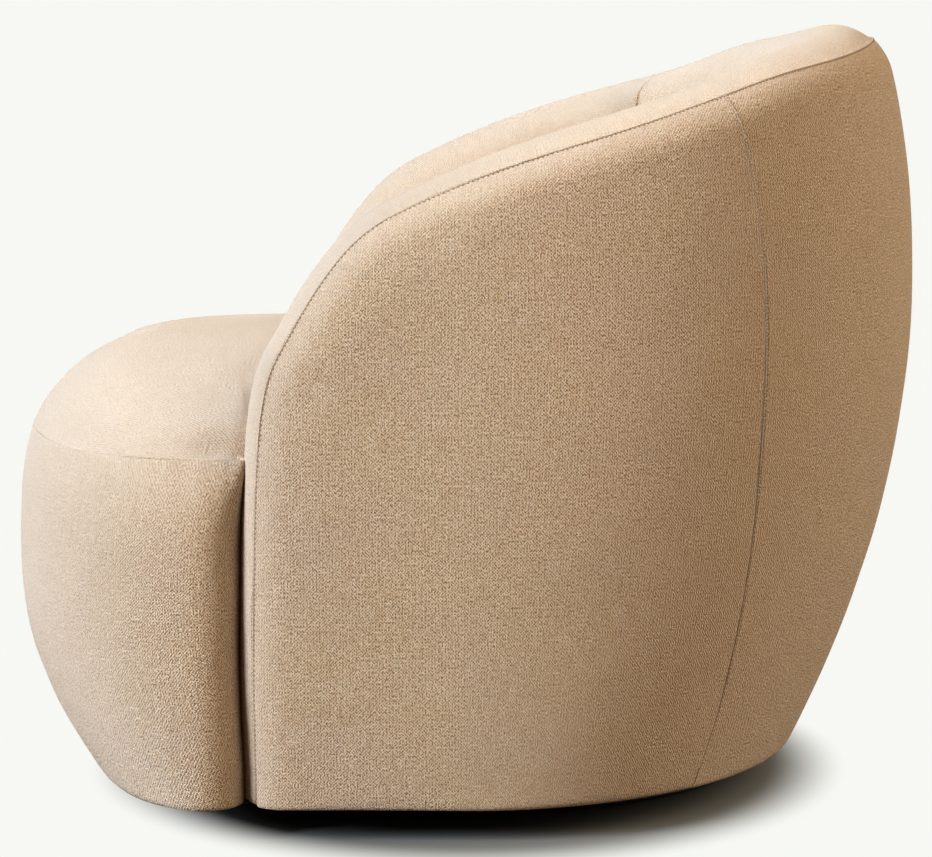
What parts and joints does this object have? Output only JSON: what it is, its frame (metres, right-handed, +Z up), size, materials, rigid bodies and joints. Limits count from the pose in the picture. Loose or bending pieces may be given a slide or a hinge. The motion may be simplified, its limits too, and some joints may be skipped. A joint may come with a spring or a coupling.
{
  "type": "swivel armchair",
  "caption": "Upholstered barrel armchair: a wrap-around shell for arms and back, a domed full-width seat, and a hidden full-turn swivel on a round plinth.",
  "frame": {"origin": "on the floor under the swivel's axis, which is also the middle of the bounding box's bottom", "axes": "+Z up, +X to the sitter's left, +Y to the back, -Y to the front"},
  "size_m": [0.86, 0.8618, 0.723],
  "materials": {
    "linen": "matte",
    "foam": "matte",
    "plywood": "matte",
    "plinth_paint": "satin",
    "steel": "satin",
    "dust_cloth": "matte",
    "felt": "matte"
  },
  "bodies": {
    "base": {"glide_1": "felt", "glide_2": "felt", "glide_3": "felt", "glide_4": "felt", "lower_swivel_plate": "steel", "pivot_nut": "steel", "pivot_pin": "steel", "plinth": "plinth_paint", "plinth_screw_1": "steel", "plinth_screw_2": "steel", "plinth_screw_3": "steel", "plinth_screw_4": "steel"},
    "chair": {"arm_foam_left": "foam", "arm_foam_right": "foam", "arm_front_post_left": "plywood", "arm_front_post_right": "plywood", "arm_rib_left": "plywood", "arm_rib_right": "plywood", "arm_top_rail_left": "plywood", "arm_top_rail_right": "plywood", "back_foam": "foam", "back_rib_centre": "plywood", "back_rib_left": "plywood", "back_rib_right": "plywood", "back_top_rail": "plywood", "base_board": "plywood", "board_bolt_1": "steel", "board_bolt_2": "steel", "board_bolt_3": "steel", "board_bolt_4": "steel", "dust_cover": "dust_cloth", "front_board": "plywood", "front_foam": "foam", "inside_cover": "linen", "outer_back_panel": "linen", "outer_side_panel_left": "linen", "outer_side_panel_right": "linen", "rear_board": "plywood", "rear_rib_left": "plywood", "rear_rib_right": "plywood", "seat_foam": "foam", "seat_side_cover": "linen", "seat_spring_1": "steel", "seat_spring_2": "steel", "seat_spring_3": "steel", "seat_spring_4": "steel", "seat_spring_5": "steel", "seat_top_cover": "linen", "side_board_left": "plywood", "side_board_right": "plywood", "spring_felt": "felt", "upper_swivel_plate": "steel"},
    "cage": {"ball_cage": "steel", "bearing_ball_1": "steel", "bearing_ball_2": "steel", "bearing_ball_3": "steel", "bearing_ball_4": "steel", "bearing_ball_5": "steel", "bearing_ball_6": "steel"}
  },
  "joints": [
    {"name": "swivel", "type": "hinge", "parent": "base", "child": "chair", "pos_m": [0, 0, 0], "axis": [0, 0, 1], "continuous": true},
    {"name": "cage_roll", "type": "hinge", "parent": "base", "child": "cage", "pos_m": [0, 0, 0], "axis": [0, 0, 1], "continuous": true}
  ],
  "couplings": [
    {"joint": "cage_roll", "follows": "swivel", "ratio": 0.5}
  ]
}
